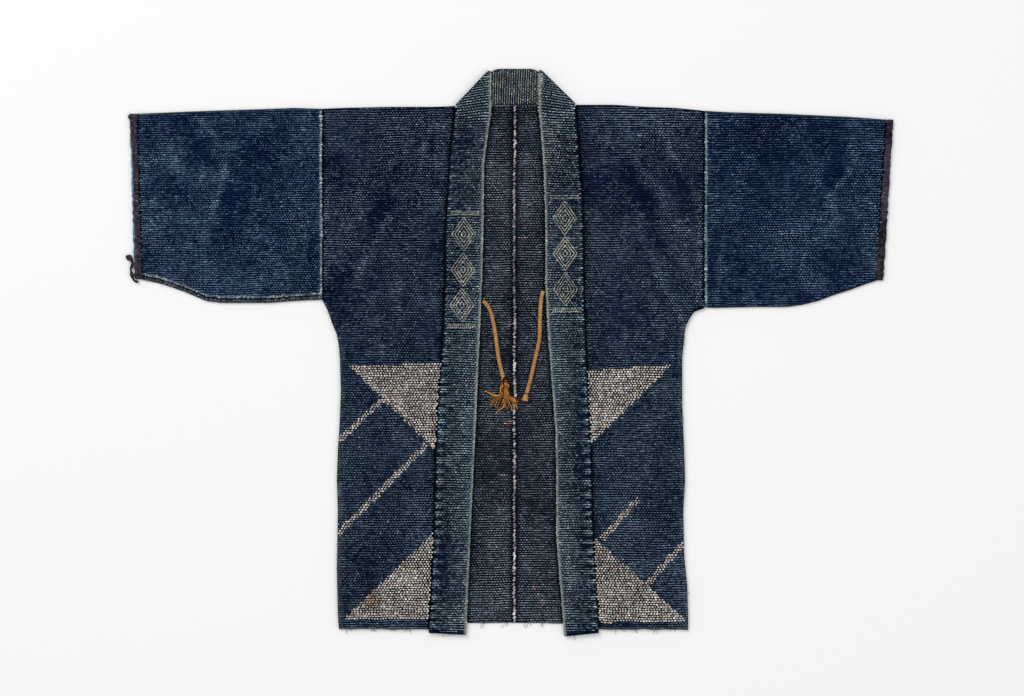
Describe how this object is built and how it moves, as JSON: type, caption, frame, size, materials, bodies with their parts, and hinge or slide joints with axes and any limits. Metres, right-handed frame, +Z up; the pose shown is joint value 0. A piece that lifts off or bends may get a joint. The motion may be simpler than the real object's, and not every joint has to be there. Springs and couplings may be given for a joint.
{
  "type": "quilted fireman coat",
  "caption": "Open-fronted quilted cotton work coat with tube sleeves, a folded collar band and cord ties, laid flat with its front up.",
  "frame": {"origin": "middle of the laid coat's length and width, on the surface it lies on", "axes": "+X to the viewer's right across the sleeves, +Y towards the collar, +Z up out of the front"},
  "size_m": [1.2425, 0.9186, 0.0136],
  "materials": {
    "indigo_body": "quilted indigo cotton with pale running stitches, worn",
    "indigo_sleeve": "quilted indigo cotton with blue running stitches, faded in patches",
    "indigo_collar": "folded quilted cotton, pale at the folds",
    "dark_binding": "brown-black whipping thread",
    "ochre_cord": "braided ochre cord, frayed at one end"
  },
  "bodies": {
    "root": {"body_left": "indigo_body", "body_right": "indigo_body", "sleeve_left": "indigo_sleeve", "sleeve_right": "indigo_sleeve", "collar_band": "indigo_collar", "cuff_binding_left": "dark_binding", "cuff_binding_right": "dark_binding", "cuff_thread_left": "dark_binding", "tie_left": "ochre_cord", "tie_right": "ochre_cord", "tie_left_tassel": "ochre_cord", "tie_right_knot": "ochre_cord"}
  },
  "joints": []
}
